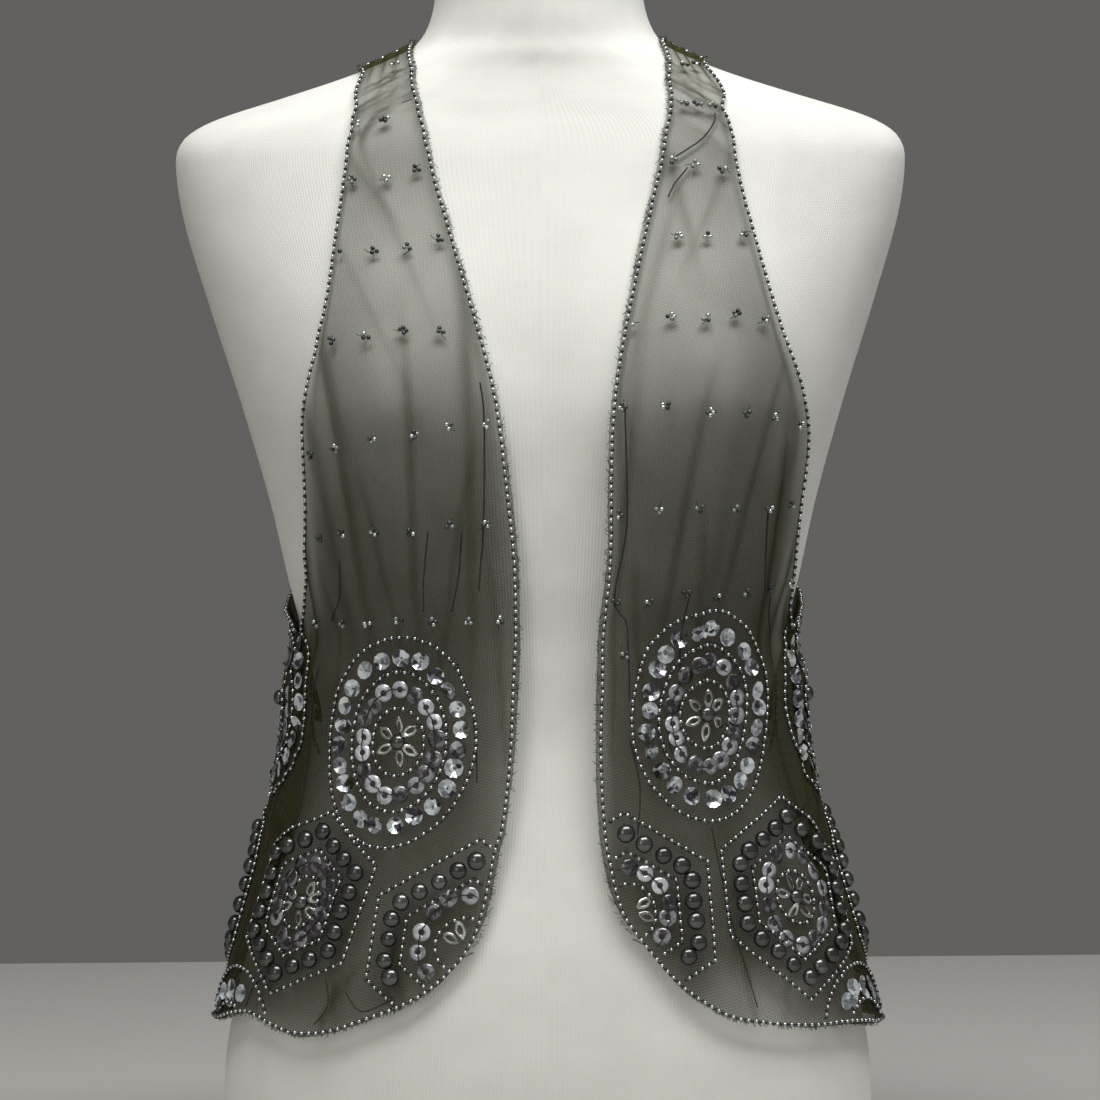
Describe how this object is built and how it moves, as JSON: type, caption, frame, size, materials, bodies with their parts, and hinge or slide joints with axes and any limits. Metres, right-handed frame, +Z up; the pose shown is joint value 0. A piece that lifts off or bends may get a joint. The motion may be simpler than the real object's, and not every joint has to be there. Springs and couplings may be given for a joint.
{
  "type": "beaded waistcoat on dress form",
  "caption": "Open-fronted sheer net waistcoat with beaded edges and medallions, displayed on a limbless padded dress form with a flat base.",
  "frame": {"origin": "on the floor under the middle of the form's flat base", "axes": "+Z up, the fronts face -Y, +X to the right hand of someone looking at the fronts"},
  "size_m": [0.406, 0.2487, 0.715],
  "materials": {
    "form_jersey": "fine ribbed cream jersey, matt",
    "black_net": "sheer soft black net",
    "seed_beads": "silver-lined and jet glass seed beads, polished",
    "sequins": "clear and pearly sequins with a lustre",
    "pearls": "gunmetal pearl lustre",
    "thread": "black sewing thread"
  },
  "bodies": {
    "root": {"dress_form": "form_jersey", "left_front": "black_net", "right_front": "black_net", "back": "black_net", "left_front_edging": "seed_beads", "left_armhole_edging": "seed_beads", "right_front_edging": "seed_beads", "right_armhole_edging": "seed_beads", "back_hem_edging": "seed_beads", "back_neck_edging": "seed_beads", "back_right_armhole_edging": "seed_beads", "back_left_armhole_edging": "seed_beads"}
  },
  "joints": []
}
